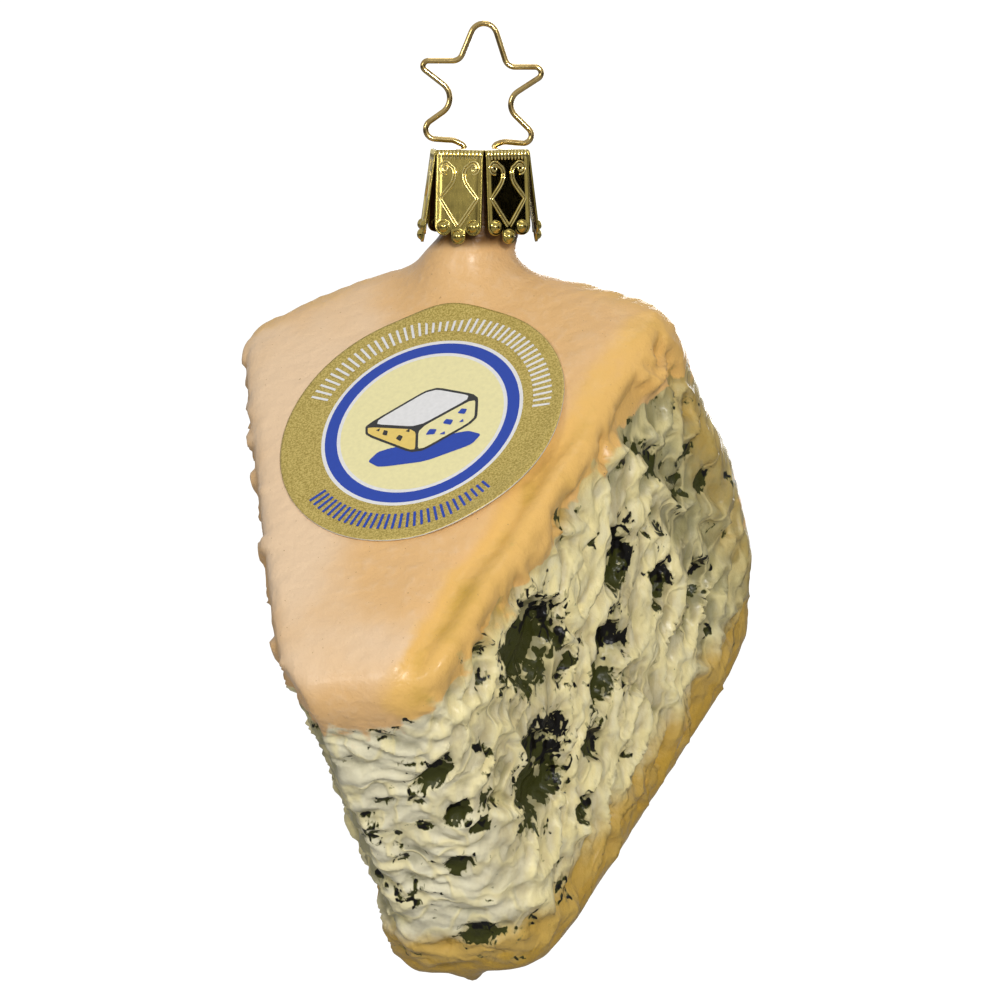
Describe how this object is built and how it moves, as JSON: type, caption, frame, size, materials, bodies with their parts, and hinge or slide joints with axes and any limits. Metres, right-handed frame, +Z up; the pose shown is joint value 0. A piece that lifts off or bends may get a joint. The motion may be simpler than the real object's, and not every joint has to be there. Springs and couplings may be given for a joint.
{
  "type": "blown-glass cheese wedge ornament",
  "caption": "Hanging tree ornament: hollow blown-glass wedge of blue cheese with a stamped crown cap, star-shaped wire hanger and a round paper label.",
  "frame": {"origin": "the hang point: the inside of the top bend of the star-shaped wire, where a hook or thread carries the ornament", "axes": "+Z up, against the pull of gravity; +Y away from the label side, square to the plane of the star; +X to the right of someone facing the label"},
  "size_m": [0.0609, 0.0793, 0.1145],
  "materials": {
    "painted_glass": "opaque lacquer over silvered glass, cream and olive blue-mould relief on the cut faces, glossy clear coat",
    "gold_sheet": "polished gold-coloured plating over a pressed scroll pattern",
    "gold_wire": "gold-coloured plating, drawn wire",
    "label_paper": "printed paper with a grained metallic gold rim"
  },
  "bodies": {
    "root": {"glass_body": "painted_glass", "crown_cap": "gold_sheet", "star_hanger": "gold_wire", "label": "label_paper"}
  },
  "joints": []
}
